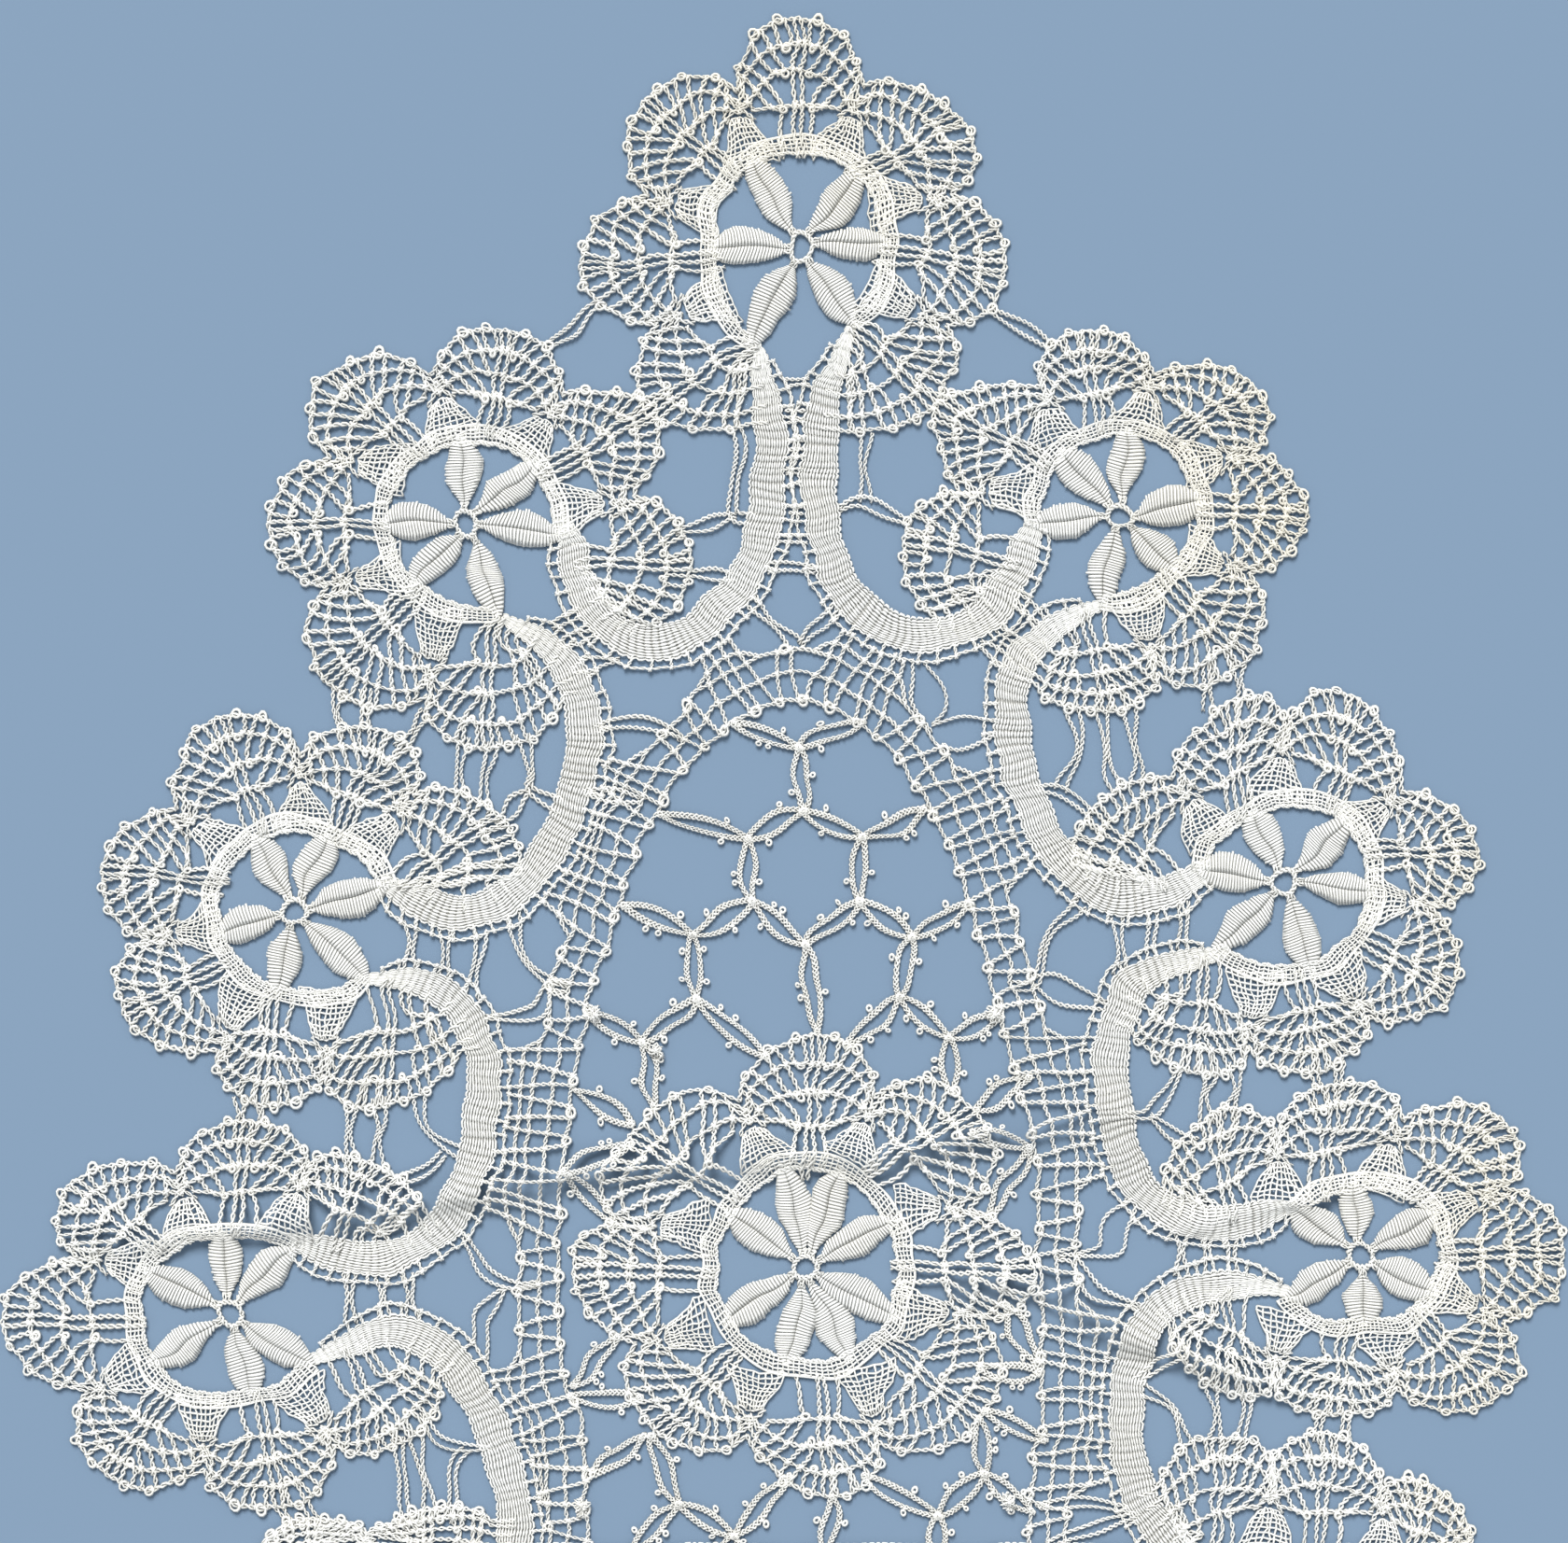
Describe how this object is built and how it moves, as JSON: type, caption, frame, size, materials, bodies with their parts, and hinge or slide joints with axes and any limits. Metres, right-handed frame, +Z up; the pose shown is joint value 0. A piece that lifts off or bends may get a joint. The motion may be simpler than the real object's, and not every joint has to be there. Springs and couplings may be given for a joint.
{
  "type": "bobbin lace mat end",
  "caption": "Rounded end of a flat thread lace mat: flowers in rings, scalloped fans, winding tapes, and a net arch over a hexagon filling.",
  "frame": {"origin": "middle of the piece's outer box, on the surface that the lace lies on", "axes": "+X across the lace, +Y from the straight edge towards the rounded end, +Z up from the surface"},
  "size_m": [0.2126, 0.2125, 0.0036],
  "materials": {
    "thread": "matte off-white thread, a little yellowed in places"
  },
  "bodies": {
    "root": {"lace": "thread"}
  },
  "joints": []
}
